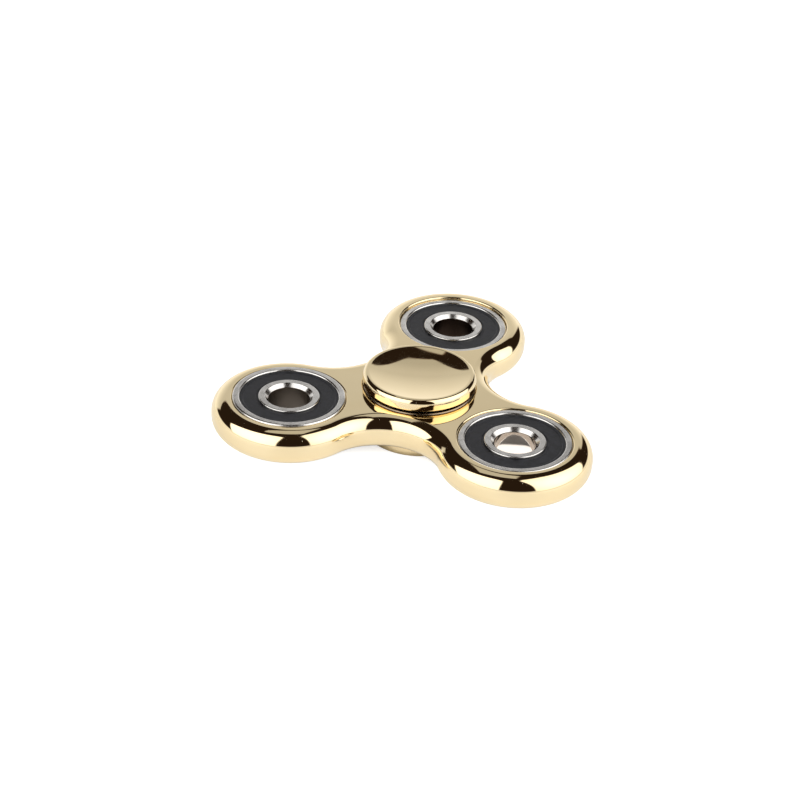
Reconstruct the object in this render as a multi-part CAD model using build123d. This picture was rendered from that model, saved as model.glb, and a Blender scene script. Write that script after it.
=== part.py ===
from build123d import *

import os
from math import atan2, cos, degrees, hypot, radians, sin

# A three-lobed fidget spinner: a plated moulded body that turns on a sealed 608 ball bearing between
# two dished finger caps, with one more 608 bearing pressed into each lobe as its weight.
#
# Frame: millimetres. +Z runs up the spin axis and the origin is the centre of the hub bearing, half way
# through the body. The rear lobe points along +Y, and the left and right lobes lie at 120 degrees to it.

# ---------------------------------------------------------------- driving dimensions

# Body
LOBE_PITCH = 26.0  # hub centre to lobe centre
LOBE_RADIUS = 15.0
WAIST_REACH = 14.8  # hub centre to the outline, half way between two lobes
BODY_THICKNESS = 7.0
BODY_EDGE_ROUND = 3.1
SEAT_EDGE_ROUND = 0.35  # lip of each bearing seat
SEAT_GAP = 0.01  # radial gap that stands for the light press fit of a bearing in its seat

# Lobes, by the side they are on, with the direction of the lobe and how far its bearing is
# pressed up (+) or down (-) from flush with the body's faces.
LOBES = {
    "rear": {"direction": 90.0, "bearing_rise": -0.50},
    "left": {"direction": 210.0, "bearing_rise": 0.30},
    "right": {"direction": 330.0, "bearing_rise": -0.15},
}

# 608 bearing
BEARING_RADIUS = 11.0
BEARING_WIDTH = 7.0
BORE_RADIUS = 4.0
OUTER_CORNER_ROUND = 0.40
BORE_CHAMFER = 0.72
SHOULDER_CORNER_ROUND = 0.25
INNER_SHOULDER_RADIUS = 5.95
OUTER_SHOULDER_RADIUS = 8.90

# Balls and raceways
BALL_COUNT = 7
BALL_RADIUS = 3.969 / 2
BALL_PITCH_RADIUS = 7.5
RACEWAY_GAP = 0.03  # radial running gap between a ball and each raceway
RACEWAY_RADIUS = 0.52 * 2 * BALL_RADIUS  # groove section radius

# Ball cage: two pressed halves, joined by tabs
CAGE_SHEET = 0.35
CAGE_INNER_RADIUS = 6.85
CAGE_OUTER_RADIUS = 8.15
CAGE_POCKET_GAP = 0.06
CAGE_TAB_WIDTH = 1.0
CAGE_TAB_SHEET = 0.25
CAGE_TAB_LIP = 0.70

# Seals: rubber moulded on a steel core, snapped into a groove in the outer ring
SEAL_GAP = 0.02
SEAL_LIP_GAP = 0.04  # running gap at the inner ring
SEAL_RECESS = 0.30  # seal's outer bead below the ring faces
SEAL_BEAD_INNER_RADIUS = 9.05
SEAL_BEAD_SLOPE = 0.15  # width of the bead's inner slope
SEAL_BEAD_HEIGHT = 0.10  # bead above the rest of the seal's face
SEAL_FACE_THICKNESS = 0.32  # rubber in front of the core, at the bead
SEAL_CORE_THICKNESS = 0.30
SEAL_CORE_INNER_RADIUS = 6.60
SEAL_CORE_OUTER_RADIUS = 9.30
SEAL_LIP_BEVEL = 0.10  # both corners of the lip, measured along the axis
SEAL_FACE_STEP = 0.15  # the two steps from the core's edge in to the lip's bevel
RECESS_RADIUS = 9.55  # opening in the outer ring's face
RECESS_CORNER_ROUND = 0.35
RECESS_GROOVE_RADIUS = 9.80
RECESS_GROOVE_HEIGHT = 0.50

# Finger caps
CAP_RADIUS = 11.15
CAP_GAP = 0.45  # between the cap's underside and the body's face
CAP_HEIGHT = 2.90  # body's face to the cap's rim
CAP_RIM_INNER_RADIUS = 10.02  # a narrow flat rim stands round the dish
CAP_DISH_DEPTH = 1.15
CAP_TOP_ROUND_WIDTH = 0.85  # quarter ellipse from the rim down to the side
CAP_TOP_ROUND_HEIGHT = 1.25
CAP_BOTTOM_ROUND = 0.50
CAP_BOSS_RADIUS = 5.70  # stands on the inner ring
STEM_GAP = 0.02
STEM_WALL = 1.20
STEM_LENGTH = 3.30
STEM_LEAD_IN = 0.30
STEM_SLOT_WIDTH = 0.80
STEM_SLOT_COUNT = 2  # each slot crosses the stem, so two make four fingers

# ---------------------------------------------------------------- worked-out dimensions

HALF_BODY = BODY_THICKNESS / 2
HALF_BEARING = BEARING_WIDTH / 2
SEAL_BEAD_Z = HALF_BEARING - SEAL_RECESS
SEAL_FACE_Z = SEAL_BEAD_Z - SEAL_BEAD_HEIGHT
SEAL_CORE_TOP_Z = SEAL_BEAD_Z - SEAL_FACE_THICKNESS
SEAL_SEAT_Z = SEAL_CORE_TOP_Z - SEAL_CORE_THICKNESS - SEAL_GAP
GROOVE_TOP_Z = SEAL_SEAT_Z + RECESS_GROOVE_HEIGHT
CAP_UNDERSIDE_Z = HALF_BODY + CAP_GAP
CAP_RIM_Z = HALF_BODY + CAP_HEIGHT

# A waist arc touches both of its lobes from outside and passes WAIST_REACH from the hub.
WAIST_RADIUS = (
    WAIST_REACH**2 + LOBE_PITCH**2 - WAIST_REACH * LOBE_PITCH - LOBE_RADIUS**2
) / (2 * LOBE_RADIUS - 2 * WAIST_REACH + LOBE_PITCH)
WAIST_PITCH = WAIST_REACH + WAIST_RADIUS
LOBE_STEP = 360 / len(LOBES)


# ---------------------------------------------------------------- helpers


def polar(radius, direction, z=0.0):
    """A point at a radius and a direction in degrees from +X."""
    return (radius * cos(radians(direction)), radius * sin(radians(direction)), z)


def turned(*corners):
    """The solid that a closed outline of (radius, z) corners sweeps around the Z axis."""
    outline = Polyline(*[(radius, 0, z) for radius, z in corners], close=True)
    return revolve(make_face(outline), Axis.Z)


def band(inner, outer, bottom, top):
    """A plain ring with a rectangular section."""
    return turned((inner, bottom), (outer, bottom), (outer, top), (inner, top))


def circles_at(solid, radius, height):
    """The round edges of a solid about the Z axis with this radius, at +height and -height."""
    return [
        edge
        for edge in solid.edges().filter_by(GeomType.CIRCLE)
        if abs(edge.radius - radius) < 1e-4
        and abs(abs(edge.arc_center.Z) - height) < 1e-4
        and hypot(edge.arc_center.X, edge.arc_center.Y) < 1e-4
    ]


def flipped(solid):
    """The same piece turned over, for the underside."""
    return solid.rotate(Axis.X, 180)


# ---------------------------------------------------------------- body


def body_outline():
    """The three-lobed outline: lobe arcs and waist arcs that meet tangentially."""
    arcs = []
    for lobe in LOBES.values():
        direction = lobe["direction"]
        lobe_x, lobe_y, _ = polar(LOBE_PITCH, 0)
        waist_x, waist_y, _ = polar(WAIST_PITCH, LOBE_STEP / 2)
        lean = degrees(atan2(waist_y - lobe_y, waist_x - lobe_x))
        arcs.append(
            CenterArc(polar(LOBE_PITCH, direction), LOBE_RADIUS, direction - lean, 2 * lean)
        )
        arcs.append(
            CenterArc(
                polar(WAIST_PITCH, direction + LOBE_STEP / 2),
                WAIST_RADIUS,
                direction + lean - 180,
                LOBE_STEP - 2 * lean,
            )
        )
    return make_face(arcs)


def spinner_body():
    """The moulded body, with a seat through it for the hub bearing and for each lobe's bearing."""
    body = extrude(body_outline(), HALF_BODY, both=True)
    rims = [edge for edge in body.edges() if abs(abs(edge.center().Z) - HALF_BODY) < 1e-4]
    body = fillet(rims, BODY_EDGE_ROUND)
    seat_radius = BEARING_RADIUS + SEAT_GAP
    seat = turned(
        (0, -HALF_BODY),
        (seat_radius, -HALF_BODY),
        (seat_radius, HALF_BODY),
        (0, HALF_BODY),
    )
    centres = [(0, 0, 0)] + [polar(LOBE_PITCH, lobe["direction"]) for lobe in LOBES.values()]
    for centre in centres:
        body = body - Pos(*centre) * seat
    lips = [
        edge
        for edge in body.edges().filter_by(GeomType.CIRCLE)
        if abs(edge.radius - seat_radius) < 1e-4
    ]
    return fillet(lips, SEAT_EDGE_ROUND)


# ---------------------------------------------------------------- bearing


def outer_ring():
    """The bearing's outer ring, with its raceway and a seal recess in each face."""
    half = [
        (OUTER_SHOULDER_RADIUS, SEAL_SEAT_Z),
        (RECESS_GROOVE_RADIUS, SEAL_SEAT_Z),
        (RECESS_GROOVE_RADIUS, GROOVE_TOP_Z),
        (RECESS_RADIUS, GROOVE_TOP_Z),
        (RECESS_RADIUS, HALF_BEARING),
        (BEARING_RADIUS, HALF_BEARING),
    ]
    ring = turned(*half, *[(radius, -z) for radius, z in reversed(half)])
    groove_centre = BALL_PITCH_RADIUS + BALL_RADIUS + RACEWAY_GAP - RACEWAY_RADIUS
    ring = ring - Torus(groove_centre, RACEWAY_RADIUS)
    ring = fillet(circles_at(ring, RECESS_RADIUS, HALF_BEARING), RECESS_CORNER_ROUND)
    return fillet(circles_at(ring, BEARING_RADIUS, HALF_BEARING), OUTER_CORNER_ROUND)


def inner_ring():
    """The bearing's inner ring, with its raceway and chamfered bore ends."""
    ring = band(BORE_RADIUS, INNER_SHOULDER_RADIUS, -HALF_BEARING, HALF_BEARING)
    groove_centre = BALL_PITCH_RADIUS - BALL_RADIUS - RACEWAY_GAP + RACEWAY_RADIUS
    ring = ring - Torus(groove_centre, RACEWAY_RADIUS)
    ring = chamfer(circles_at(ring, BORE_RADIUS, HALF_BEARING), BORE_CHAMFER)
    return fillet(circles_at(ring, INNER_SHOULDER_RADIUS, HALF_BEARING), SHOULDER_CORNER_ROUND)


def ball_places():
    """Where the balls stand, as placements on the pitch circle."""
    step = 360 / BALL_COUNT
    return [Pos(*polar(BALL_PITCH_RADIUS, step * index)) for index in range(BALL_COUNT)]


def balls():
    """The bearing's balls, standing evenly round the pitch circle."""
    return [place * Sphere(BALL_RADIUS) for place in ball_places()]


def cage_half():
    """The upper pressed half of the ball cage: flat lands between the cups over the balls."""
    pocket = BALL_RADIUS + CAGE_POCKET_GAP
    sheet = band(CAGE_INNER_RADIUS, CAGE_OUTER_RADIUS, 0, CAGE_SHEET)
    for place in ball_places():
        sheet = sheet + place * Sphere(pocket + CAGE_SHEET)
    sheet = sheet & band(CAGE_INNER_RADIUS, CAGE_OUTER_RADIUS, 0, HALF_BEARING)
    for place in ball_places():
        sheet = sheet - place * Sphere(pocket)
    return sheet


def cage_lower():
    """The lower half of the cage, with a tab at each land that folds over the upper half."""
    half = flipped(cage_half())
    step = 360 / BALL_COUNT
    upright_height = 2 * CAGE_SHEET + SEAL_GAP + CAGE_TAB_SHEET
    upright = Pos(
        CAGE_OUTER_RADIUS + SEAL_GAP + CAGE_TAB_SHEET / 2, 0, upright_height / 2 - CAGE_SHEET
    ) * Box(CAGE_TAB_SHEET, CAGE_TAB_WIDTH, upright_height)
    foot = Pos(CAGE_OUTER_RADIUS, 0, -CAGE_SHEET / 2) * Box(
        2 * (SEAL_GAP + CAGE_TAB_SHEET), CAGE_TAB_WIDTH, CAGE_SHEET
    )
    lip = Pos(
        CAGE_OUTER_RADIUS + SEAL_GAP + CAGE_TAB_SHEET - CAGE_TAB_LIP / 2,
        0,
        CAGE_SHEET + SEAL_GAP + CAGE_TAB_SHEET / 2,
    ) * Box(CAGE_TAB_LIP, CAGE_TAB_WIDTH, CAGE_TAB_SHEET)
    tab = upright + foot + lip
    for index in range(BALL_COUNT):
        half = half + tab.rotate(Axis.Z, step * (index + 0.5))
    return half


def seal_core():
    """The pressed steel washer that stiffens the upper seal."""
    bottom = SEAL_CORE_TOP_Z - SEAL_CORE_THICKNESS
    return band(SEAL_CORE_INNER_RADIUS, SEAL_CORE_OUTER_RADIUS, bottom, SEAL_CORE_TOP_Z)


def seal_rubber():
    """The upper seal's rubber: a face over the core, a bead in the ring's groove, a lip inside."""
    lip_radius = INNER_SHOULDER_RADIUS + SEAL_LIP_GAP
    core_bottom = SEAL_CORE_TOP_Z - SEAL_CORE_THICKNESS
    return turned(
        (lip_radius, core_bottom + SEAL_LIP_BEVEL),
        (SEAL_CORE_INNER_RADIUS, core_bottom),
        (SEAL_CORE_INNER_RADIUS, SEAL_CORE_TOP_Z),
        (SEAL_CORE_OUTER_RADIUS, SEAL_CORE_TOP_Z),
        (SEAL_CORE_OUTER_RADIUS, core_bottom),
        (RECESS_GROOVE_RADIUS - SEAL_GAP, core_bottom),
        (RECESS_GROOVE_RADIUS - SEAL_GAP, GROOVE_TOP_Z - SEAL_GAP),
        (RECESS_RADIUS - SEAL_GAP, GROOVE_TOP_Z - SEAL_GAP),
        (SEAL_CORE_OUTER_RADIUS, SEAL_BEAD_Z),
        (SEAL_BEAD_INNER_RADIUS, SEAL_BEAD_Z),
        (SEAL_BEAD_INNER_RADIUS - SEAL_BEAD_SLOPE, SEAL_FACE_Z),
        (SEAL_CORE_INNER_RADIUS - SEAL_FACE_STEP, SEAL_FACE_Z),
        (SEAL_CORE_INNER_RADIUS - 2 * SEAL_FACE_STEP, SEAL_FACE_Z - SEAL_LIP_BEVEL),
        (lip_radius, SEAL_FACE_Z - SEAL_LIP_BEVEL),
    )


# ---------------------------------------------------------------- finger caps


def finger_cap():
    """The upper cap: a dished pad with a boss on the inner ring and a split stem in its bore."""
    rim_edge = CAP_RADIUS - CAP_TOP_ROUND_WIDTH
    side_top = CAP_RIM_Z - CAP_TOP_ROUND_HEIGHT
    corner = EllipticalCenterArc(
        (rim_edge, side_top), CAP_TOP_ROUND_WIDTH, CAP_TOP_ROUND_HEIGHT, arc_size=90
    )
    sides = Polyline(
        (rim_edge, CAP_RIM_Z),
        (0, CAP_RIM_Z),
        (0, CAP_UNDERSIDE_Z),
        (CAP_RADIUS, CAP_UNDERSIDE_Z),
        (CAP_RADIUS, side_top),
    )
    pad = revolve(Plane.XZ * make_face([corner, sides]), Axis.Z)
    pad = fillet(circles_at(pad, CAP_RADIUS, CAP_UNDERSIDE_Z), CAP_BOTTOM_ROUND)
    dish_radius = (CAP_RIM_INNER_RADIUS**2 + CAP_DISH_DEPTH**2) / (2 * CAP_DISH_DEPTH)
    pad = pad - Pos(0, 0, CAP_RIM_Z - CAP_DISH_DEPTH + dish_radius) * Sphere(dish_radius)

    stem_radius = BORE_RADIUS - STEM_GAP
    stem_end_z = HALF_BEARING - STEM_LENGTH
    stem = turned(
        (stem_radius - STEM_WALL, stem_end_z),
        (stem_radius - STEM_LEAD_IN, stem_end_z),
        (stem_radius, stem_end_z + STEM_LEAD_IN),
        (stem_radius, HALF_BEARING),
        (stem_radius - STEM_WALL, HALF_BEARING),
    )
    slot = Pos(0, 0, stem_end_z + STEM_LENGTH / 2) * Box(
        2 * BORE_RADIUS, STEM_SLOT_WIDTH, STEM_LENGTH
    )
    for index in range(STEM_SLOT_COUNT):
        stem = stem - slot.rotate(Axis.Z, 180 / STEM_SLOT_COUNT * index)
    boss = band(0, CAP_BOSS_RADIUS, HALF_BEARING, CAP_UNDERSIDE_Z)
    return pad + boss + stem


# ---------------------------------------------------------------- assembly


def bearing_pieces():
    """Every piece of one 608 bearing about the origin, by name."""
    return {
        "outer_ring": [outer_ring()],
        "inner_ring": [inner_ring()],
        "balls": balls(),
        "cage_upper": [cage_half()],
        "cage_lower": [cage_lower()],
        "seal_core_upper": [seal_core()],
        "seal_core_lower": [flipped(seal_core())],
        "seal_upper": [seal_rubber()],
        "seal_lower": [flipped(seal_rubber())],
    }


def assembly():
    """Every node of the spinner, each as a list of solids in place."""
    cap = finger_cap()
    nodes = {
        "spinner_body": [spinner_body()],
        "top_cap": [cap],
        "bottom_cap": [flipped(cap)],
    }
    bearing = bearing_pieces()
    places = {"hub": Pos(0, 0, 0)}
    for side, lobe in LOBES.items():
        place = Pos(*polar(LOBE_PITCH, lobe["direction"], lobe["bearing_rise"]))
        places[side] = place * Rot(0, 0, lobe["direction"])
    for side, place in places.items():
        for piece, solids in bearing.items():
            nodes[f"{side}_{piece}"] = [place * solid for solid in solids]
    return nodes


os.makedirs("parts", exist_ok=True)
for node, solids in assembly().items():
    shape = solids[0] if len(solids) == 1 else Compound(solids)
    export_step(shape, f"parts/{node}.step")
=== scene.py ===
from math import acos, asin, atan2, cos, degrees, hypot, pi, radians, sin

import bmesh
import bpy
from mathutils import Matrix, Vector
from mathutils.geometry import delaunay_2d_cdt


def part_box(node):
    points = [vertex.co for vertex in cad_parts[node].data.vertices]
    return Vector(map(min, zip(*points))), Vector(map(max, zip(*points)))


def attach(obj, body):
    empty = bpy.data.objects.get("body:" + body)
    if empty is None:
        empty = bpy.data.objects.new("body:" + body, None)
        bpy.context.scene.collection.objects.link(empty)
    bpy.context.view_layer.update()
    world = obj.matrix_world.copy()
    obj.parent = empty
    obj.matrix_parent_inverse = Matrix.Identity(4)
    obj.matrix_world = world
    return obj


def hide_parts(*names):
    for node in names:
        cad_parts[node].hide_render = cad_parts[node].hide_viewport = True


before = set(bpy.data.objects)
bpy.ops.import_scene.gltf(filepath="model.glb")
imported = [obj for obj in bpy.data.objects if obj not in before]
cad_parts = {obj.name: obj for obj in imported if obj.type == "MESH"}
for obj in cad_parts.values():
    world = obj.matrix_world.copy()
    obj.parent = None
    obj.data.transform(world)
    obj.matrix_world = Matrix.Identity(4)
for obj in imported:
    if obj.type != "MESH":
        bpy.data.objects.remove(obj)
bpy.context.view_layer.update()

# A gold fidget spinner on a white table. Everything is in metres, in the frame of the CAD model: +Z runs up
# the spin axis, the origin is the centre of the hub bearing and the rear lobe points along +Y.

MM = 0.001

# ---------------------------------------------------------------- dimensions taken from the frame

SIDES = ("hub", "rear", "left", "right")


def middle(node):
    """The centre of a CAD node's box."""
    low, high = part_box(node)
    return (low + high) / 2


CENTRES = {side: middle(f"{side}_inner_ring") for side in SIDES}
BODY_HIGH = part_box("spinner_body")[1]
HALF_BODY = BODY_HIGH.z
LOBE_PITCH = CENTRES["rear"].y
LOBE_RADIUS = BODY_HIGH.y - LOBE_PITCH
BEARING_RADIUS = (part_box("hub_outer_ring")[1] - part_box("hub_outer_ring")[0]).x / 2
HALF_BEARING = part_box("hub_outer_ring")[1].z
SHOULDER_RADIUS = (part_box("hub_inner_ring")[1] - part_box("hub_inner_ring")[0]).x / 2
CAP_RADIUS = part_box("top_cap")[1].x
CAP_RIM_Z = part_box("top_cap")[1].z
STEM_END_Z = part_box("top_cap")[0].z
FLOOR_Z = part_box("bottom_cap")[0].z
LOBE_DIRECTIONS = {"rear": 90.0, "left": 210.0, "right": 330.0}

# ---------------------------------------------------------------- dimensions of the parts

WAIST_REACH = 14.8 * MM
BODY_EDGE_ROUND = 3.1 * MM
SEAT_RADIUS = BEARING_RADIUS + 0.01 * MM
SEAT_EDGE_ROUND = 0.35 * MM

BORE_RADIUS = 4.0 * MM
BORE_CHAMFER = 0.72 * MM
OUTER_CORNER_ROUND = 0.40 * MM
SHOULDER_ROUND = 0.25 * MM
OUTER_SHOULDER_RADIUS = 8.90 * MM
BALL_PITCH_RADIUS = 7.5 * MM
BALL_RADIUS = 3.969 / 2 * MM
RACEWAY_GAP = 0.03 * MM
RACEWAY_RADIUS = 1.04 * BALL_RADIUS
RECESS_RADIUS = 9.55 * MM
RECESS_ROUND = 0.35 * MM
RECESS_GROOVE_RADIUS = 9.80 * MM
RECESS_GROOVE_HEIGHT = 0.50 * MM
SEAL_GAP = 0.02 * MM
SEAL_LIP_GAP = 0.04 * MM
SEAL_BEAD_Z = HALF_BEARING - 0.30 * MM
SEAL_BEAD_INNER_RADIUS = 9.05 * MM
SEAL_BEAD_SLOPE = 0.15 * MM
SEAL_FACE_Z = SEAL_BEAD_Z - 0.10 * MM
SEAL_LIP_BEVEL = 0.10 * MM
SEAL_FACE_STEP = 0.15 * MM
SEAL_CORE_TOP_Z = SEAL_BEAD_Z - 0.32 * MM
SEAL_CORE_LOW_Z = SEAL_CORE_TOP_Z - 0.30 * MM
SEAL_SEAT_Z = SEAL_CORE_LOW_Z - SEAL_GAP
GROOVE_TOP_Z = SEAL_SEAT_Z + RECESS_GROOVE_HEIGHT
SEAL_CORE_INNER_RADIUS = 6.60 * MM
SEAL_CORE_OUTER_RADIUS = 9.30 * MM
SEAL_EDGE_ROUND = 0.10 * MM
EDGE_BREAK = 0.15 * MM  # the edges of the bore's chamfers are slightly rounded over

CAP_UNDERSIDE_Z = HALF_BODY + 0.45 * MM
CAP_TOP_ROUND_WIDTH = 0.85 * MM
CAP_TOP_ROUND_HEIGHT = 1.25 * MM
CAP_BOTTOM_ROUND = 0.50 * MM
CAP_RIM_INNER_RADIUS = 10.02 * MM
CAP_DISH_DEPTH = 1.15 * MM
CAP_DISH_EDGE_ROUND = 2.2 * MM
CAP_BOSS_RADIUS = 5.70 * MM
STEM_RADIUS = BORE_RADIUS - 0.02 * MM
STEM_WALL = 1.20 * MM
STEM_LEAD_IN = 0.30 * MM
STEM_SLOT_WIDTH = 0.80 * MM

TURN_STEPS = 256  # round a lathe-turned piece


# ---------------------------------------------------------------- meshes with true normals


class Section:
    """A closed outline in (radius, height), walked anticlockwise, with the true outward normal at both
    ends of each step, so that a polished face reflects as a smooth surface would."""

    def __init__(self, r, z):
        self.points = [(r, z)]
        self.normals = []

    def line(self, r, z):
        """A straight step to (r, z)."""
        r0, z0 = self.points[-1]
        length = hypot(r - r0, z - z0)
        normal = ((z - z0) / length, (r0 - r) / length)
        self.points.append((r, z))
        self.normals.append((normal, normal))
        return self

    def lines(self, *corners):
        for r, z in corners:
            self.line(r, z)
        return self

    def arc(self, r, z, radius, start, end, steps, hollow=False):
        """An arc about (r, z) between two directions in degrees; hollow if it is cut into the piece."""
        return self.ellipse(r, z, radius, radius, start, end, steps, hollow)

    def ellipse(self, r, z, width, height, start, end, steps, hollow=False):
        """An elliptical arc about (r, z) with these two half axes."""
        sign = -1 if hollow else 1

        def normal(turn):
            flat, rise = cos(turn) / width, sin(turn) / height
            return sign * flat / hypot(flat, rise), sign * rise / hypot(flat, rise)

        turns = [radians(start + (end - start) * k / steps) for k in range(steps + 1)]
        for a, b in zip(turns, turns[1:]):
            self.points.append((r + width * cos(b), z + height * sin(b)))
            self.normals.append((normal(a), normal(b)))
        return self

    def corner(self, r, z, radius, start, end, steps):
        """Rounds the corner at (r, z) between two faces whose outward directions are given in degrees."""
        turn = radians(start + end) / 2
        away = radius / cos(radians(end - start) / 2)
        middle_r, middle_z = r - away * cos(turn), z - away * sin(turn)
        self.line(middle_r + radius * cos(radians(start)), middle_z + radius * sin(radians(start)))
        return self.arc(middle_r, middle_z, radius, start, end, steps)


class Skin:
    """Vertices and faces, with a true normal for each face corner."""

    def __init__(self):
        self.vertices = []
        self.faces = []
        self.normals = []

    def add_vertices(self, points):
        first = len(self.vertices)
        self.vertices.extend(points)
        return range(first, len(self.vertices))

    def add_face(self, corners, normals):
        self.faces.append(corners)
        self.normals.extend(normals)

    def build(self, name, location=(0, 0, 0)):
        """The finished object, at its place in the frame."""
        mesh = bpy.data.meshes.new(name)
        mesh.from_pydata(self.vertices, [], self.faces)
        mesh.shade_smooth()
        mesh.normals_split_custom_set(self.normals)
        piece = bpy.data.objects.new(name, mesh)
        piece.location = location
        bpy.context.scene.collection.objects.link(piece)
        return piece


def lathe(skin, section):
    """Turns a section about the Z axis. A corner on the axis becomes one shared point. Returns the rings."""
    turns = [2 * pi * k / TURN_STEPS for k in range(TURN_STEPS)]
    directions = [(cos(turn), sin(turn)) for turn in turns]
    first, last = section.points[0], section.points[-1]
    is_closed = hypot(first[0] - last[0], first[1] - last[1]) < 1e-9
    rings = []
    for r, z in section.points[:-1] if is_closed else section.points:
        if r < 1e-9:
            rings.append([skin.add_vertices([(0, 0, z)])[0]] * TURN_STEPS)
        else:
            rings.append(list(skin.add_vertices([(r * x, r * y, z) for x, y in directions])))
    if is_closed:
        rings.append(rings[0])
    for (start, end), near, far in zip(section.normals, rings, rings[1:]):
        for k in range(TURN_STEPS):
            n = (k + 1) % TURN_STEPS
            corners = [(near, start, k), (near, start, n), (far, end, n), (far, end, k)]
            if near[k] == near[n]:
                corners.pop(1)
            elif far[k] == far[n]:
                corners.pop(2)
            skin.add_face(
                [ring[c] for ring, _, c in corners],
                [(a * directions[c][0], a * directions[c][1], b) for _, (a, b), c in corners],
            )
    return rings


def fill_flat(skin, loops, z, up, inside, spacing):
    """Fills the flat region at height z between loops of existing vertices, where inside(x, y) is true."""
    ids = [index for loop in loops for index in loop]
    flat = [Vector(skin.vertices[index][:2]) for index in ids]
    edges = []
    first = 0
    for loop in loops:
        edges += [(first + k, first + (k + 1) % len(loop)) for k in range(len(loop))]
        first += len(loop)
    low_x, high_x = min(p.x for p in flat), max(p.x for p in flat)
    low_y, high_y = min(p.y for p in flat), max(p.y for p in flat)
    rows = int((high_y - low_y) / spacing)
    across = int((high_x - low_x) / spacing)
    seeds = []
    for row in range(1, rows):
        for column in range(1, across):
            x = low_x + (column + row % 2 / 2) * spacing
            y = low_y + row * spacing
            if inside(x, y, spacing / 2):
                seeds.append(Vector((x, y)))
    points, _, triangles, origins, _, _ = delaunay_2d_cdt(flat + seeds, edges, [], 0, 1e-9)
    known = {}
    for index, point in enumerate(points):
        source = [o for o in origins[index] if o < len(ids)]
        if source:
            known[index] = ids[source[0]]
        else:
            known[index] = skin.add_vertices([(point.x, point.y, z)])[0]
    normal = (0, 0, 1 if up else -1)
    for triangle in triangles:
        centre = sum((points[k] for k in triangle), Vector((0, 0))) / len(triangle)
        if inside(centre.x, centre.y, 0):
            corners = [known[k] for k in triangle]
            skin.add_face(corners if up else corners[::-1], [normal] * 3)


# ---------------------------------------------------------------- body

# A waist arc touches both of its lobes from outside and passes WAIST_REACH from the hub.
WAIST_RADIUS = (
    WAIST_REACH**2 + LOBE_PITCH**2 - WAIST_REACH * LOBE_PITCH - LOBE_RADIUS**2
) / (2 * LOBE_RADIUS - 2 * WAIST_REACH + LOBE_PITCH)
WAIST_PITCH = WAIST_REACH + WAIST_RADIUS


def polar(radius, direction):
    return Vector((radius * cos(radians(direction)), radius * sin(radians(direction))))


def body_outline():
    """Points round the three-lobed outline, each with its outward direction."""
    lobe = polar(LOBE_PITCH, 0)
    waist = polar(WAIST_PITCH, 60)
    lean = degrees(atan2(waist.y - lobe.y, waist.x - lobe.x))
    lobe_steps, waist_steps = 176, 72
    outline = []
    for direction in LOBE_DIRECTIONS.values():
        centre = polar(LOBE_PITCH, direction)
        for k in range(lobe_steps):
            outward = direction - lean + 2 * lean * k / lobe_steps
            outline.append((centre + polar(LOBE_RADIUS, outward), polar(1, outward)))
        centre = polar(WAIST_PITCH, direction + 60)
        for k in range(waist_steps):
            outward = direction + lean + (120 - 2 * lean) * k / waist_steps
            outline.append((centre - polar(WAIST_RADIUS, outward), polar(1, outward)))
    return outline


def in_outline(x, y, inset):
    """True if a point lies inside the outline by at least the inset."""
    apart = abs((degrees(atan2(y, x)) - 90 + 60) % 120 - 60)
    point = polar(hypot(x, y), apart)
    lobe = polar(LOBE_PITCH, 0)
    waist = polar(WAIST_PITCH, 60)
    on_hub_side = (waist - lobe).cross(point - lobe) > 0
    in_lobe = (point - lobe).length < LOBE_RADIUS - inset
    off_waist = (point - waist).length > WAIST_RADIUS + inset
    return in_lobe or (on_hub_side and off_waist)


def body_wall(skin):
    """The rounded side wall, from the lower flat face's edge to the upper one's. Returns both edges."""
    outline = body_outline()
    edge_steps = 28
    tilts = [90 * k / edge_steps for k in range(edge_steps + 1)]
    rows = [(-tilt, -1) for tilt in reversed(tilts)] + [(tilt, 1) for tilt in tilts]
    rings = []
    for tilt, side in rows:
        inset = BODY_EDGE_ROUND * (1 - cos(radians(tilt)))
        z = side * (HALF_BODY - BODY_EDGE_ROUND) + BODY_EDGE_ROUND * sin(radians(tilt))
        flat = cos(radians(tilt))
        ring = [(*(point - inset * outward), z) for point, outward in outline]
        normals = [(*(flat * outward), sin(radians(tilt))) for _, outward in outline]
        rings.append((list(skin.add_vertices(ring)), normals))
    for (low, low_n), (high, high_n) in zip(rings, rings[1:]):
        for k in range(len(outline)):
            n = (k + 1) % len(outline)
            skin.add_face((low[k], low[n], high[n], high[k]), (low_n[k], low_n[n], high_n[n], high_n[k]))
    return rings[0][0], rings[-1][0]


def seat_wall(skin, centre, steps=192):
    """A bearing seat through the body with its two rounded lips. Returns its lower and upper edges."""
    lip_steps = 6
    rows = []
    for k in range(lip_steps + 1):
        tilt = radians(90 - 90 * k / lip_steps)
        rows.append((tilt, 1))
    for k in range(lip_steps + 1):
        tilt = radians(-90 * k / lip_steps)
        rows.append((tilt, -1))
    rings = []
    for tilt, side in rows:
        radius = SEAT_RADIUS + SEAT_EDGE_ROUND * (1 - cos(tilt))
        z = side * (HALF_BODY - SEAT_EDGE_ROUND) + SEAT_EDGE_ROUND * sin(tilt)
        turns = [2 * pi * k / steps for k in range(steps)]
        ring = [(centre.x + radius * cos(t), centre.y + radius * sin(t), z) for t in turns]
        normals = [(-cos(tilt) * cos(t), -cos(tilt) * sin(t), sin(tilt)) for t in turns]
        rings.append((list(skin.add_vertices(ring)), normals))
    for (high, high_n), (low, low_n) in zip(rings, rings[1:]):
        for k in range(steps):
            n = (k + 1) % steps
            skin.add_face((high[k], high[n], low[n], low[k]), (high_n[k], high_n[n], low_n[n], low_n[k]))
    return rings[-1][0], rings[0][0]


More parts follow.
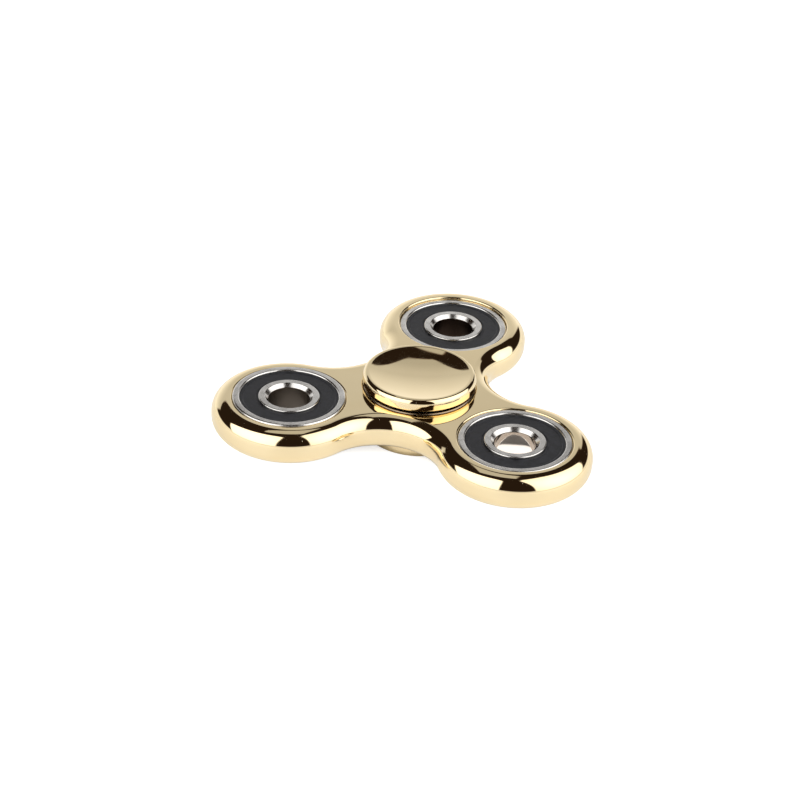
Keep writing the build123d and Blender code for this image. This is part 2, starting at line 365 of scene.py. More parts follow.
def make_body():
    """The moulded three-lobed body, with its four bearing seats."""
    skin = Skin()
    low_edge, high_edge = body_wall(skin)
    seats = [seat_wall(skin, centre) for centre in CENTRES.values()]
    lip_radius = SEAT_RADIUS + SEAT_EDGE_ROUND

    def on_face(x, y, margin):
        clear = all(hypot(x - c.x, y - c.y) > lip_radius + margin for c in CENTRES.values())
        return clear and in_outline(x, y, BODY_EDGE_ROUND + margin)

    spacing = 1.2 * MM
    fill_flat(skin, [high_edge] + [high for _, high in seats], HALF_BODY, True, on_face, spacing)
    fill_flat(skin, [low_edge] + [low for low, _ in seats], -HALF_BODY, False, on_face, spacing)
    return skin.build("body_shell")


# ---------------------------------------------------------------- finger caps


def stem_finger(skin, quarter):
    """One of the four fingers of a cap's split stem. Returns the loop where it grows from the boss."""
    inner = STEM_RADIUS - STEM_WALL
    rows = [
        (STEM_RADIUS, HALF_BEARING),
        (STEM_RADIUS, STEM_END_Z + STEM_LEAD_IN),
        (STEM_RADIUS - STEM_LEAD_IN, STEM_END_Z),
    ]
    steps = 12

    def arc(radius):
        slot_turn = asin(STEM_SLOT_WIDTH / 2 / radius)
        span = pi / 2 - 2 * slot_turn
        return [quarter * pi / 2 + slot_turn + span * k / steps for k in range(steps + 1)]

    outer_rings = []
    inner_rings = []
    for radius, z in rows:
        for rings, r in ((outer_rings, radius), (inner_rings, inner)):
            points = [(r * cos(t), r * sin(t), z) for t in arc(r)]
            rings.append(list(skin.add_vertices(points)))
    for row in range(len(rows) - 1):
        (r0, z0), (r1, z1) = rows[row], rows[row + 1]
        slope = hypot(r0 - r1, z0 - z1)
        flat, rise = (z0 - z1) / slope, (r1 - r0) / slope
        for k in range(steps):
            high, low = outer_rings[row], outer_rings[row + 1]
            normals = [(flat * cos(t), flat * sin(t), rise) for t in arc(r0)]
            corners = (low[k], low[k + 1], high[k + 1], high[k])
            skin.add_face(corners, (normals[k], normals[k + 1], normals[k + 1], normals[k]))
            high, low = inner_rings[row], inner_rings[row + 1]
            normals = [(-cos(t), -sin(t), 0) for t in arc(inner)]
            corners = (high[k], high[k + 1], low[k + 1], low[k])
            skin.add_face(corners, (normals[k], normals[k + 1], normals[k + 1], normals[k]))
        start_normal = (sin(quarter * pi / 2), -cos(quarter * pi / 2), 0)
        end_normal = (-cos(quarter * pi / 2), -sin(quarter * pi / 2), 0)
        start = (inner_rings[row][0], inner_rings[row + 1][0], outer_rings[row + 1][0], outer_rings[row][0])
        end = (outer_rings[row][-1], outer_rings[row + 1][-1], inner_rings[row + 1][-1], inner_rings[row][-1])
        skin.add_face(start, [start_normal] * 4)
        skin.add_face(end, [end_normal] * 4)
    for k in range(steps):
        low, high = inner_rings[-1], outer_rings[-1]
        skin.add_face((low[k], low[k + 1], high[k + 1], high[k]), [(0, 0, -1)] * 4)
    return outer_rings[0] + inner_rings[0][::-1]


def cap_section():
    """The cap's section from the boss's lower edge, round the rim and across the dish to the axis."""
    rim_edge = CAP_RADIUS - CAP_TOP_ROUND_WIDTH
    side_top = CAP_RIM_Z - CAP_TOP_ROUND_HEIGHT
    dish_radius = (CAP_RIM_INNER_RADIUS**2 + CAP_DISH_DEPTH**2) / (2 * CAP_DISH_DEPTH)
    dish_turn = degrees(asin(CAP_RIM_INNER_RADIUS / dish_radius))
    side_foot = CAP_UNDERSIDE_Z + CAP_BOTTOM_ROUND
    section = Section(CAP_BOSS_RADIUS, HALF_BEARING)
    section.line(CAP_BOSS_RADIUS, CAP_UNDERSIDE_Z)
    section.line(CAP_RADIUS - CAP_BOTTOM_ROUND, CAP_UNDERSIDE_Z)
    section.arc(CAP_RADIUS - CAP_BOTTOM_ROUND, side_foot, CAP_BOTTOM_ROUND, -90, 0, 10)
    section.line(CAP_RADIUS, side_top)
    section.ellipse(rim_edge, side_top, CAP_TOP_ROUND_WIDTH, CAP_TOP_ROUND_HEIGHT, 0, 90, 24)
    section.corner(CAP_RIM_INNER_RADIUS, CAP_RIM_Z, CAP_DISH_EDGE_ROUND, 90, 90 + dish_turn, 8)
    edge_turn = dish_turn - degrees(CAP_DISH_EDGE_ROUND * radians(dish_turn) / 2 / dish_radius)
    dish_z = CAP_RIM_Z - CAP_DISH_DEPTH + dish_radius
    section.arc(0, dish_z, dish_radius, edge_turn - 90, -90, 56, hollow=True)
    return section


def make_cap(name, upside_down):
    """A finger cap: dished pad, boss and split stem. The lower cap is the upper one turned over."""
    skin = Skin()
    boss_edge = lathe(skin, cap_section())[0]
    fingers = [stem_finger(skin, quarter) for quarter in range(4)]
    inner = STEM_RADIUS - STEM_WALL
    half_slot = STEM_SLOT_WIDTH / 2

    def on_boss(x, y, margin):
        radius = hypot(x, y)
        in_finger = (
            inner - margin < radius < STEM_RADIUS + margin
            and abs(x) > half_slot - margin
            and abs(y) > half_slot - margin
        )
        return radius < CAP_BOSS_RADIUS - margin and not in_finger

    fill_flat(skin, [boss_edge] + fingers, HALF_BEARING, False, on_boss, 0.8 * MM)
    cap = skin.build(name)
    if upside_down:
        cap.rotation_euler = (pi, 0, 0)
    return cap


# ---------------------------------------------------------------- bearings


def outer_ring_section():
    """The outer ring: raceway inside, and a recess and groove for a seal in each face."""
    round_r = BEARING_RADIUS - OUTER_CORNER_ROUND
    round_z = HALF_BEARING - OUTER_CORNER_ROUND
    race_r = BALL_PITCH_RADIUS + BALL_RADIUS + RACEWAY_GAP - RACEWAY_RADIUS
    race_turn = degrees(acos((OUTER_SHOULDER_RADIUS - race_r) / RACEWAY_RADIUS))
    race_z = RACEWAY_RADIUS * sin(radians(race_turn))
    recess_r = RECESS_RADIUS + RECESS_ROUND
    recess_z = HALF_BEARING - RECESS_ROUND
    groove = (
        (RECESS_RADIUS, GROOVE_TOP_Z),
        (RECESS_GROOVE_RADIUS, GROOVE_TOP_Z),
        (RECESS_GROOVE_RADIUS, SEAL_SEAT_Z),
        (OUTER_SHOULDER_RADIUS, SEAL_SEAT_Z),
    )
    section = Section(recess_r, -HALF_BEARING)
    section.line(round_r, -HALF_BEARING)
    section.arc(round_r, -round_z, OUTER_CORNER_ROUND, -90, 0, 8)
    section.line(BEARING_RADIUS, round_z)
    section.arc(round_r, round_z, OUTER_CORNER_ROUND, 0, 90, 8)
    section.line(recess_r, HALF_BEARING)
    section.arc(recess_r, recess_z, RECESS_ROUND, 90, 180, 10)
    section.lines(*groove, (OUTER_SHOULDER_RADIUS, race_z))
    section.arc(race_r, 0, RACEWAY_RADIUS, race_turn, -race_turn, 20, hollow=True)
    section.lines(*[(r, -z) for r, z in reversed(groove)], (RECESS_RADIUS, -recess_z))
    return section.arc(recess_r, -recess_z, RECESS_ROUND, 180, 270, 10)


def inner_ring_section():
    """The inner ring: raceway outside, and a bore with chamfered ends."""
    shoulder_r = SHOULDER_RADIUS - SHOULDER_ROUND
    shoulder_z = HALF_BEARING - SHOULDER_ROUND
    chamfer_r = BORE_RADIUS + BORE_CHAMFER
    chamfer_z = HALF_BEARING - BORE_CHAMFER
    race_r = BALL_PITCH_RADIUS - BALL_RADIUS - RACEWAY_GAP + RACEWAY_RADIUS
    race_turn = degrees(acos((race_r - SHOULDER_RADIUS) / RACEWAY_RADIUS))
    race_z = RACEWAY_RADIUS * sin(radians(race_turn))
    start_r = (chamfer_r + shoulder_r) / 2
    section = Section(start_r, -HALF_BEARING)
    section.line(shoulder_r, -HALF_BEARING)
    section.arc(shoulder_r, -shoulder_z, SHOULDER_ROUND, -90, 0, 6)
    section.line(SHOULDER_RADIUS, -race_z)
    section.arc(race_r, 0, RACEWAY_RADIUS, 180 + race_turn, 180 - race_turn, 20, hollow=True)
    section.line(SHOULDER_RADIUS, shoulder_z)
    section.arc(shoulder_r, shoulder_z, SHOULDER_ROUND, 0, 90, 6)
    section.corner(chamfer_r, HALF_BEARING, EDGE_BREAK, 90, 135, 4)
    section.corner(BORE_RADIUS, chamfer_z, 2 * EDGE_BREAK, 135, 180, 6)
    section.corner(BORE_RADIUS, -chamfer_z, 2 * EDGE_BREAK, 180, 225, 6)
    section.corner(chamfer_r, -HALF_BEARING, EDGE_BREAK, 225, 270, 4)
    return section.line(start_r, -HALF_BEARING)


def seal_section():
    """An upper seal's rubber: a face over the steel core, a bead in the ring's groove, a lip inside."""
    lip = SHOULDER_RADIUS + SEAL_LIP_GAP
    bead = RECESS_GROOVE_RADIUS - SEAL_GAP
    bead_z = GROOVE_TOP_Z - SEAL_GAP
    neck = RECESS_RADIUS - SEAL_GAP
    round_r = neck - SEAL_EDGE_ROUND
    round_z = SEAL_BEAD_Z - SEAL_EDGE_ROUND
    slope_foot = SEAL_BEAD_INNER_RADIUS - SEAL_BEAD_SLOPE
    slope = degrees(atan2(SEAL_BEAD_Z - SEAL_FACE_Z, SEAL_BEAD_SLOPE))
    lip_z = SEAL_FACE_Z - SEAL_LIP_BEVEL
    lip_edge = SEAL_CORE_INNER_RADIUS - 2 * SEAL_FACE_STEP
    lip_low_z = SEAL_CORE_LOW_Z + SEAL_LIP_BEVEL
    section = Section(lip, lip_low_z)
    section.lines(
        (SEAL_CORE_INNER_RADIUS, SEAL_CORE_LOW_Z),
        (SEAL_CORE_INNER_RADIUS, SEAL_CORE_TOP_Z),
        (SEAL_CORE_OUTER_RADIUS, SEAL_CORE_TOP_Z),
        (SEAL_CORE_OUTER_RADIUS, SEAL_CORE_LOW_Z),
        (bead, SEAL_CORE_LOW_Z),
        (bead, bead_z),
        (neck, bead_z),
    )
    section.arc(round_r, round_z, SEAL_EDGE_ROUND, 0, 90, 8)
    section.corner(SEAL_BEAD_INNER_RADIUS, SEAL_BEAD_Z, SEAL_EDGE_ROUND, 90, 90 + slope, 4)
    section.line(slope_foot, SEAL_FACE_Z)
    section.line(lip_edge + SEAL_FACE_STEP, SEAL_FACE_Z)
    section.lines((lip_edge, lip_z), (lip, lip_z), (lip, lip_low_z))
    return section


def make_ring(name, section, centre, upside_down=False):
    skin = Skin()
    lathe(skin, section)
    ring = skin.build(name, centre)
    if upside_down:
        ring.rotation_euler = (pi, 0, 0)
    return ring


def make_bearing(side):
    """The parts of one bearing that can be seen, each standing for its CAD node."""
    centre = CENTRES[side]
    ring_body = "finger_caps" if side == "hub" else f"{side}_ring"
    outer = make_ring(f"{side}_bearing_outer", outer_ring_section(), centre)
    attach(outer, "spinner")
    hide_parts(f"{side}_outer_ring")
    inner = make_ring(f"{side}_bearing_inner", inner_ring_section(), centre)
    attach(inner, ring_body)
    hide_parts(f"{side}_inner_ring")
    for piece in (outer, inner):
        piece.data.materials.append(BEARING_STEEL_AND_PAINTED_SHADE[side])
    for level, upside_down in (("upper", False), ("lower", True)):
        seal = make_ring(f"{side}_rubber_seal_{level}", seal_section(), centre, upside_down)
        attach(seal, "spinner")
        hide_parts(f"{side}_seal_{level}")
        seal.data.materials.append(RUBBER)


# ---------------------------------------------------------------- materials


class Maths:
    """Short names for the nodes of one node tree."""

    def __init__(self, tree):
        self.nodes = tree.nodes
        self.links = tree.links

    def feed(self, socket, value):
        if isinstance(value, bpy.types.NodeSocket):
            self.links.new(value, socket)
        else:
            socket.default_value = value

    def node(self, kind, **inputs):
        """A new node with these inputs; an underscore in a name stands for a space."""
        node = self.nodes.new(kind)
        for name, value in inputs.items():
            self.feed(node.inputs[name.replace("_", " ")], value)
        return node

    def value(self, operation, *inputs):
        node = self.nodes.new("ShaderNodeMath")
        node.operation = operation
        for socket, value in zip(node.inputs, inputs):
            self.feed(socket, value)
        return node.outputs[0]

    def vector(self, operation, *inputs):
        node = self.nodes.new("ShaderNodeVectorMath")
        node.operation = operation
        for socket, value in zip(node.inputs, inputs):
            self.feed(socket, value)
        return node.outputs["Value" if operation in ("DOT_PRODUCT", "LENGTH") else "Vector"]

    def ramp(self, value, low, high, out_low=0.0, out_high=1.0, smooth=True):
        """From out_low at low to out_high at high, and level beyond."""
        node = self.nodes.new("ShaderNodeMapRange")
        node.interpolation_type = "SMOOTHSTEP" if smooth else "LINEAR"
        for name, given in zip(
            ("Value", "From Min", "From Max", "To Min", "To Max"), (value, low, high, out_low, out_high)
        ):
            self.feed(node.inputs[name], given)
        return node.outputs[0]

    def mix(self, share, colour, other):
        """Between two colours; a share of 1 gives the other one."""
        node = self.nodes.new("ShaderNodeMix")
        node.data_type = "RGBA"
        self.feed(node.inputs[0], share)
        self.feed(node.inputs[6], colour if isinstance(colour, bpy.types.NodeSocket) else (*colour, 1))
        self.feed(node.inputs[7], other if isinstance(other, bpy.types.NodeSocket) else (*other, 1))
        return node.outputs[2]

    def place(self):
        """Where on the piece, in millimetres."""
        here = self.nodes.new("ShaderNodeTexCoord").outputs["Object"]
        return self.vector("MULTIPLY", here, (1000, 1000, 1000))

    def noise(self, place, grain, detail=2.0):
        """Cloudy noise whose clouds are about one grain, in millimetres, across."""
        return self.node("ShaderNodeTexNoise", Vector=place, Scale=1 / grain, Detail=detail).outputs[0]

    def specks(self, place, spacing, size):
        """1 on scattered specks, about one in two places a spacing apart."""
        cells = self.node("ShaderNodeTexVoronoi", Vector=place, Scale=1 / spacing)
        spread = self.node("ShaderNodeSeparateColor", Color=cells.outputs["Color"])
        reach = self.ramp(spread.outputs[0], 0.5, 1.0, 0.0, size / spacing, smooth=False)
        return self.value("LESS_THAN", cells.outputs["Distance"], reach)

    def turned(self, place, pitch):
        """Fine lines round the Z axis, such as a lathe or grinder leaves, that fade in and out."""
        radius = self.vector("LENGTH", self.vector("MULTIPLY", place, (1, 1, 0)))
        apart = self.node("ShaderNodeCombineXYZ", Z=self.value("MULTIPLY", radius, 1 / pitch))
        along = self.vector("MULTIPLY", place, (0.35, 0.35, 1.2))
        lines = self.vector("ADD", along, apart.outputs[0])
        return self.node("ShaderNodeTexNoise", Vector=lines, Scale=1.0, Detail=3.0).outputs[0]

    def bump(self, height, depth, below=None):
        """A normal for a height from 0 to 1 that stands for this depth in millimetres."""
        bump = self.node("ShaderNodeBump", Height=height, Distance=depth * MM, Strength=1.0)
        if below:
            self.links.new(below, bump.inputs["Normal"])
        return bump.outputs[0]

    def panel(self, direction, corners, softness):
        """1 inside a flat-sided panel given by its corners' directions, anticlockwise seen from inside."""
        inside = 1.0
        for here, there in zip(corners, corners[1:] + corners[:1]):
            edge = here.cross(there).normalized()
            share = self.ramp(self.vector("DOT_PRODUCT", direction, edge), -softness, softness)
            inside = self.value("MULTIPLY", share, inside)
        return inside


def new_material(name):
    """An empty material, the short names for its nodes and its shader."""
    material = bpy.data.materials.new(name)
    material.use_nodes = True
    maths = Maths(material.node_tree)
    return material, maths, material.node_tree.nodes["Principled BSDF"]


def dress(maths, shader, **inputs):
    """Sets inputs of a shader; an underscore in a name stands for a space."""
    for name, value in inputs.items():
        maths.feed(shader.inputs[name.replace("_", " ")], value)


def gold_material():
    """Mirror-bright plating over moulded plastic: a slight orange peel, haze and a little dust."""
    material, maths, shader = new_material("gold_plating")
    place = maths.place()
    tint = maths.ramp(maths.noise(place, 14), 0.35, 0.65)
    gold = maths.mix(tint, (0.94, 0.775, 0.485), (0.91, 0.74, 0.45))
    haze = maths.noise(place, 2.4, 5)
    dust = maths.specks(place, 1.3, 0.085)
    peel = maths.bump(maths.noise(place, 1.5), 0.0016)
    clean_roughness = maths.ramp(haze, 0.35, 0.8, 0.025, 0.085)
    dress(
        maths,
        shader,
        Base_Color=maths.mix(maths.value("MULTIPLY", dust, 0.45), gold, (0.80, 0.74, 0.60)),
        Metallic=maths.ramp(dust, 0, 1, 1.0, 0.6),
        Roughness=maths.value("MAXIMUM", clean_roughness, maths.ramp(dust, 0, 1, 0, 0.5)),
        Normal=maths.bump(maths.noise(place, 6.5, 1), 0.006, peel),
    )
    return material


def steel_material(name, shade, bore_painted_shade_colour, bore_roughness):
    """Ground bearing steel: fine lines round the faces, brighter corners, and the bore in a given colour and
    roughness; the given bore colour is painted shade.
    """
    material, maths, shader = new_material(name)
    place = maths.place()
    lines = maths.turned(place, 0.09)
    stain = maths.noise(place, 2.2, 6)
    normal = maths.nodes.new("ShaderNodeTexCoord").outputs["Normal"]
    upright = maths.value("ABSOLUTE", maths.vector("DOT_PRODUCT", normal, (0, 0, 1)))
    is_face = maths.ramp(upright, 0.93, 0.99)
    radius = maths.vector("LENGTH", maths.vector("MULTIPLY", place, (1, 1, 0)))
    in_bore = maths.value("LESS_THAN", radius, 1000 * BORE_RADIUS + 0.04)
    steel = maths.mix(maths.ramp(stain, 0.3, 0.75), shade, [0.8 * part for part in shade])
    roughness = maths.ramp(is_face, 0, 1, 0.19, 0.24, smooth=False)
    roughness = maths.value("ADD", roughness, maths.ramp(stain, 0.3, 0.8, -0.03, 0.07))
    dress(
        maths,
        shader,
        Base_Color=maths.mix(in_bore, steel, bore_painted_shade_colour),
        Metallic=1.0,
        Roughness=maths.ramp(in_bore, 0, 1, roughness, bore_roughness, smooth=False),
        Normal=maths.bump(lines, 0.0011, maths.bump(stain, 0.002)),
    )
    return material


def rubber_material():
    """Moulded black nitrile rubber: matt, a little mottled, with faint rings from its mould and dust."""
    material, maths, shader = new_material("seal_rubber")
    place = maths.place()
    mottle = maths.noise(place, 0.9, 6)
    rings = maths.turned(place, 0.5)
    pits = maths.bump(maths.noise(place, 0.16, 3), 0.006)
    dust = maths.specks(place, 0.8, 0.07)
    rubber = maths.mix(maths.ramp(mottle, 0.35, 0.7), (0.009, 0.009, 0.011), (0.028, 0.028, 0.033))
    dress(
        maths,
        shader,
        Base_Color=maths.mix(maths.value("MULTIPLY", dust, 0.5), rubber, (0.30, 0.30, 0.31)),
        Roughness=maths.ramp(mottle, 0.3, 0.7, 0.34, 0.56),
        Specular_IOR_Level=0.34,
        Normal=maths.bump(rings, 0.012, maths.bump(mottle, 0.032, pits)),
    )
    return material


def ball_material():
    """Lapped chrome-steel balls with the faintest of lapping marks and a smear of grease."""
    material, maths, shader = new_material("ball_steel")
    place = maths.place()
    grease = maths.noise(place, 1.3, 4)
    marks = maths.noise(maths.vector("MULTIPLY", place, (1, 1, 9)), 0.25, 3)
    dress(
        maths,
        shader,
        Base_Color=maths.mix(maths.ramp(grease, 0.5, 0.75), (0.66, 0.66, 0.67), (0.52, 0.49, 0.43)),
        Metallic=1.0,
        Roughness=maths.ramp(grease, 0.4, 0.8, 0.05, 0.22),
        Normal=maths.bump(marks, 0.0004),
    )
    return material


def cage_material():
    """Pressed steel strip, drawn and dull, with darker patches."""
    material, maths, shader = new_material("cage_steel")
    place = maths.place()
    grain = maths.noise(maths.vector("MULTIPLY", place, (1, 1, 0.2)), 0.12, 3)
    patch = maths.noise(place, 1.1, 5)
    dress(
        maths,
        shader,
        Base_Color=maths.mix(maths.ramp(patch, 0.35, 0.7), (0.56, 0.54, 0.50), (0.36, 0.33, 0.29)),
        Metallic=1.0,
        Roughness=maths.ramp(patch, 0.3, 0.7, 0.28, 0.45),
        Normal=maths.bump(grain, 0.004),
    )
    return material


def core_material():
    """The seal cores' phosphated sheet steel: grey, matt and crystalline."""
    material, maths, shader = new_material("seal_core_steel")
    place = maths.place()
    crystals = maths.node("ShaderNodeTexVoronoi", Vector=place, Scale=7.0)
    patch = maths.noise(place, 1.5, 4)
    shade = maths.ramp(crystals.outputs["Distance"], 0.1, 0.8)
    grey = maths.mix(shade, (0.20, 0.20, 0.205), (0.33, 0.33, 0.33))
    dress(
        maths,
        shader,
        Base_Color=maths.mix(maths.ramp(patch, 0.45, 0.75), grey, (0.24, 0.23, 0.21)),
        Metallic=0.8,
        Roughness=maths.ramp(patch, 0.3, 0.7, 0.42, 0.6),
        Normal=maths.bump(crystals.outputs["Distance"], 0.006),
    )
    return material


GOLD = gold_material()
RUBBER = rubber_material()
STEEL = (0.76, 0.735, 0.70)
# The hub bearing's steel, faces and bore alike, is darkened to brown as painted shade for the shade under the
# top cap.
HUB_STEEL_PAINTED_SHADE = (0.34, 0.27, 0.20)
BEARING_STEEL_AND_PAINTED_SHADE = {
    "hub": steel_material("bearing_steel_hub_painted_shade", HUB_STEEL_PAINTED_SHADE, HUB_STEEL_PAINTED_SHADE, 0.30),
    # Each bore's colour is darkened as painted shade for the shade inside it: deepest in the rear bore,
    # lightest in the right-hand one.
    "rear": steel_material("bearing_steel_bore_painted_deep_shade", STEEL, (0.09, 0.06, 0.045), 0.30),
    "left": steel_material("bearing_steel_bore_painted_shade", STEEL, (0.23, 0.195, 0.165), 0.32),
    "right": steel_material("bearing_steel_bore_painted_light_shade", STEEL, (0.38, 0.34, 0.30), 0.05),
}
INSIDE_MATERIALS = {
    "balls": ball_material(),
    "cage_upper": cage_material(),
    "seal_core_upper": core_material(),
}
INSIDE_MATERIALS["cage_lower"] = INSIDE_MATERIALS["cage_upper"]
INSIDE_MATERIALS["seal_core_lower"] = INSIDE_MATERIALS["seal_core_upper"]

# ---------------------------------------------------------------- the spinner

body = make_body()
body.data.materials.append(GOLD)
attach(body, "spinner")
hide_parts("spinner_body")
for level, upside_down in (("top", False), ("bottom", True)):
    cap = make_cap(f"{level}_finger_cap", upside_down)
    cap.data.materials.append(GOLD)
    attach(cap, "finger_caps")
    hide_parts(f"{level}_cap")
for side in SIDES:
    make_bearing(side)
    for piece, material in INSIDE_MATERIALS.items():
        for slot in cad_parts[f"{side}_{piece}"].material_slots:
            slot.material = material

# ---------------------------------------------------------------- camera, floor and light

CAMERA_AZIMUTH = 13.91
CAMERA_ELEVATION = 31.02
CAMERA_ROLL = 3.27
CAMERA_DISTANCE = 445.6 * MM
CAMERA_LENS = 102.4
CAMERA_AIM = (-3.76 * MM, -3.0 * MM)  # right and up in the picture, from the middle of the body's top


def make_camera():
    azimuth, elevation, roll = (radians(a) for a in (CAMERA_AZIMUTH, CAMERA_ELEVATION, CAMERA_ROLL))
    back = Vector((sin(azimuth) * cos(elevation), -cos(azimuth) * cos(elevation), sin(elevation)))
    level_right = (-back).cross(Vector((0, 0, 1))).normalized()
    level_up = level_right.cross(-back)
    right = cos(roll) * level_right + sin(roll) * level_up
    up = cos(roll) * level_up - sin(roll) * level_right
    top = Vector((0, 0, HALF_BODY))
    place = top + CAMERA_DISTANCE * back
    aim = top + CAMERA_AIM[0] * right + CAMERA_AIM[1] * up
    to_camera = (place - aim).normalized()
    right = up.cross(to_camera).normalized()
    up = to_camera.cross(right)
    camera = bpy.data.objects.new("camera", bpy.data.cameras.new("camera"))
    camera.data.lens = CAMERA_LENS
    camera.data.sensor_width = 36
    camera.data.clip_start = 0.01
    camera.data.clip_end = 20
    camera.matrix_world = Matrix.Translation(place) @ Matrix((right, up, to_camera)).transposed().to_4x4()
    bpy.context.scene.collection.objects.link(camera)
    bpy.context.scene.camera = camera


def toward(azimuth, elevation):
    """A direction from the object: azimuth in degrees to the right of the camera's, elevation above level."""
    turn, rise = radians(CAMERA_AZIMUTH + azimuth), radians(elevation)
    return Vector((sin(turn) * cos(rise), -cos(turn) * cos(rise), sin(rise)))


# The studio. A direction is given in degrees to the right of the camera and above level; a height or a
# breadth on the back wall is given as a share of its distance.
WALL_TOP = 1.06
WALL_TOP_AT_SIDES = 0.70
WALL_LOW_GLOW = 1.14
WALL_HIGH_GLOW = 0.62
SURROUND_GLOW = 1.0
SURROUND_FRONT_GLOW = 0.86
LEFT_BOX = [(-98, 32), (-78, 4), (-16, 4), (-15, 55), (-18, 68), (-36, 70), (-85, 52)]
LEFT_BOX_MIDDLE = (-58, 33)
RIGHT_BOX = [(31, 4), (104, 4), (128, 36), (125, 68), (60, 80), (34, 74)]
RIGHT_BOX_MIDDLE = (76, 35)
BOX_GLOW = 2.0
BOX_SOFTNESS = 0.025
CEILING = [(189, 49), (250, 70), (135, 82), (168, 58)]
CEILING_GLOW = 0.55
CEILING_SOFTNESS = 0.012
DARK_GLOW = 0.02
DARK_TINT = (1.0, 0.62, 0.42)
STUDIO_RADIUS = 420 * MM

FLOOR_REACH = 1600 * MM
# The table glows: ambient occlusion within SHADOW_REACH fades its glow into a painted shadow, and the pool is
# a painted pool of light under the right-hand bore.
FLOOR_GREY = 0.45
FLOOR_SEEN_GLOW = 1.1
FLOOR_MIRRORED_GLOW = 0.6
SHADOW_REACH = 12 * MM
POOL_RADIUS = 7.7 * MM
POOL_SHIFT = 2 * MM
PAINTED_POOL_GLOW = 3.0


def back_wall(maths, front, side, up):
    """A pale wall behind, brightest low down, with a top edge that rises in the middle."""
    depth = maths.value("MAXIMUM", maths.value("MULTIPLY", front, -1.0), 0.02)
    height = maths.value("DIVIDE", up, depth)
    across = maths.value("DIVIDE", side, depth)
    top_edge = maths.ramp(maths.value("ABSOLUTE", across), 0.07, 0.22, WALL_TOP, WALL_TOP_AT_SIDES)
    below_top = maths.value("SUBTRACT", top_edge, height)
    wall = maths.ramp(height, 0.05, 0.62, WALL_LOW_GLOW, WALL_HIGH_GLOW, smooth=False)
    for share in (
        maths.ramp(height, 0.66, 0.95, 1.0, 0.8),
        maths.ramp(below_top, -0.02, 0.03),
        maths.ramp(across, 0.44, 0.54, 1.0, 0.0),
        maths.ramp(across, -1.6, -1.3),
        maths.ramp(front, 0.0, 0.05, 1.0, 0.0),
    ):
        wall = maths.value("MULTIPLY", wall, share)
    return wall


def low_surround(maths, front, up):
    """Pale surfaces low down all round, a little dimmer and lower towards the camera."""
    low = maths.ramp(up, 0.12, 0.18, SURROUND_GLOW, 0.0)
    low = maths.value("MULTIPLY", low, maths.ramp(front, 0.80, 0.92, 1.0, 0.0))
    return maths.value("MAXIMUM", low, maths.ramp(up, 0.06, 0.15, SURROUND_FRONT_GLOW, 0.0))


def soft_box(maths, direction, corners, middle, reach, edge_glow):
    """A soft box, brightest in its middle; reach is the cosine at which it is down to its edge's glow."""
    inside = maths.panel(direction, [toward(*corner) for corner in corners], BOX_SOFTNESS)
    from_middle = maths.vector("DOT_PRODUCT", direction, toward(*middle))
    glow = maths.ramp(from_middle, reach, 1.0, edge_glow, BOX_GLOW, smooth=False)
    return maths.value("MULTIPLY", inside, glow)


def studio_light(maths, direction):
    """How bright the studio is in each direction: a pale wall and table, two soft boxes, a dark room."""
    front = maths.vector("DOT_PRODUCT", direction, toward(0, 0))
    side = maths.vector("DOT_PRODUCT", direction, toward(90, 0))
    up = maths.vector("DOT_PRODUCT", direction, Vector((0, 0, 1)))
    ceiling = maths.panel(direction, [toward(*corner) for corner in CEILING], CEILING_SOFTNESS)
    light = maths.value("MAXIMUM", maths.value("MULTIPLY", ceiling, CEILING_GLOW), DARK_GLOW)
    for part in (
        back_wall(maths, front, side, up),
        low_surround(maths, front, up),
        soft_box(maths, direction, LEFT_BOX, LEFT_BOX_MIDDLE, 0.64, 1.45),
        soft_box(maths, direction, RIGHT_BOX, RIGHT_BOX_MIDDLE, 0.6, 1.05),
    ):
        light = maths.value("MAXIMUM", light, part)
    return light


def make_studio():
    """The light around the object: a dome that shines inwards and that the camera looks through."""
    mesh = bpy.data.meshes.new("studio")
    dome = bmesh.new()
    bmesh.ops.create_icosphere(dome, subdivisions=4, radius=STUDIO_RADIUS)
    bmesh.ops.reverse_faces(dome, faces=dome.faces)
    dome.to_mesh(mesh)
    dome.free()
    studio = bpy.data.objects.new("studio", mesh)
    material = bpy.data.materials.new("studio_light")
    material.cycles.emission_sampling = "NONE"
    material.use_nodes = True
    tree = material.node_tree
    tree.nodes.clear()
    maths = Maths(tree)
    place = tree.nodes.new("ShaderNodeNewGeometry").outputs["Position"]
    direction = maths.vector("NORMALIZE", place)
    light = studio_light(maths, direction)
    tint = maths.mix(maths.ramp(light, DARK_GLOW, 0.4), DARK_TINT, (1.0, 1.0, 1.0))
    glow = maths.node("ShaderNodeEmission", Color=tint, Strength=light)
    tree.links.new(glow.outputs[0], tree.nodes.new("ShaderNodeOutputMaterial").inputs["Surface"])
    mesh.materials.append(material)
    studio.visible_camera = False
    bpy.context.scene.collection.objects.link(studio)


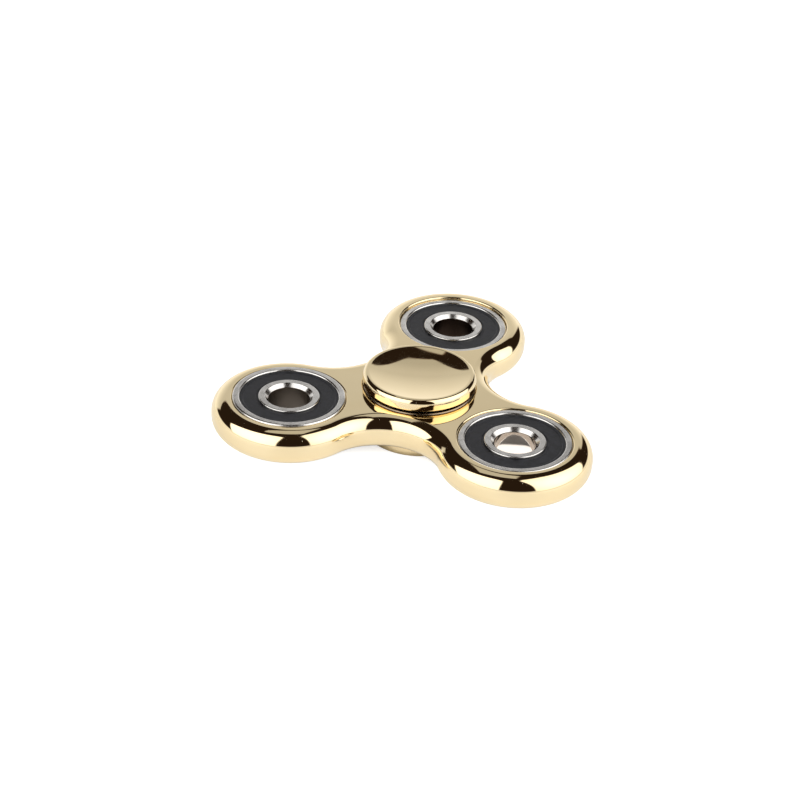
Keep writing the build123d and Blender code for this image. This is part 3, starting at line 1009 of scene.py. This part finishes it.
def make_floor():
    """The pale table, which glows rather than being lit: ambient occlusion fades its glow into a painted
    shadow that shows only deep under the spinner, and it is clear from below.
    The gold and the steel mirror it with a dimmer glow and a wider painted shadow, and with a painted pool of
    light under the right-hand bearing's bore."""
    mesh = bpy.data.meshes.new("floor")
    corners = [(x * FLOOR_REACH, y * FLOOR_REACH) for x, y in ((-1, -1), (1, -1), (1, 1), (-1, 1))]
    mesh.from_pydata([(x, y, FLOOR_Z) for x, y in corners], [], [(0, 1, 2, 3)])
    floor = bpy.data.objects.new("floor", mesh)
    material, maths, shader = new_material("table")
    material.cycles.emission_sampling = "NONE"
    overhead = maths.node("ShaderNodeAmbientOcclusion", Distance=SHADOW_REACH).outputs["AO"]
    place = maths.nodes.new("ShaderNodeNewGeometry").outputs["Position"]
    # Painted pool of light on the table under the right-hand bearing's bore, seen only in reflections.
    pool = CENTRES["right"] - POOL_SHIFT * toward(0, 0)
    from_pool = maths.vector("LENGTH", maths.vector("SUBTRACT", place, (pool.x, pool.y, FLOOR_Z)))
    painted_light_pool = maths.ramp(from_pool, 0.95 * POOL_RADIUS, 1.05 * POOL_RADIUS, PAINTED_POOL_GLOW, 0.0)
    # Painted shadow: the glow fades where ambient occlusion is deep under the spinner, more widely in
    # reflections than for the camera.
    table_glow_painted_shadow = maths.ramp(overhead, 0.08, 0.34, 0.0, FLOOR_MIRRORED_GLOW)
    mirrored = maths.value("MAXIMUM", table_glow_painted_shadow, painted_light_pool)
    direct = maths.ramp(overhead, 0.02, 0.22, 0.5, FLOOR_SEEN_GLOW)
    seen = maths.nodes.new("ShaderNodeLightPath").outputs["Is Camera Ray"]
    dress(
        maths,
        shader,
        Base_Color=(FLOOR_GREY, FLOOR_GREY, FLOOR_GREY, 1),
        Roughness=0.6,
        Emission_Color=(1, 1, 1, 1),
        Emission_Strength=maths.ramp(seen, 0, 1, mirrored, direct, smooth=False),
    )
    from_below = maths.nodes.new("ShaderNodeNewGeometry").outputs["Backfacing"]
    clear = maths.nodes.new("ShaderNodeBsdfTransparent").outputs[0]
    either = maths.nodes.new("ShaderNodeMixShader")
    for socket, value in zip(either.inputs, (from_below, shader.outputs[0], clear)):
        maths.feed(socket, value)
    maths.links.new(either.outputs[0], maths.nodes["Material Output"].inputs["Surface"])
    mesh.materials.append(material)
    bpy.context.scene.collection.objects.link(floor)


def make_backdrop():
    """What the camera sees past the table."""
    world = bpy.data.worlds.new("backdrop")
    bpy.context.scene.world = world
    world.use_nodes = True
    world.node_tree.nodes["Background"].inputs["Color"].default_value = (1, 1, 1, 1)


make_camera()
make_studio()
make_floor()
make_backdrop()
bpy.context.scene.view_settings.view_transform = "Standard"
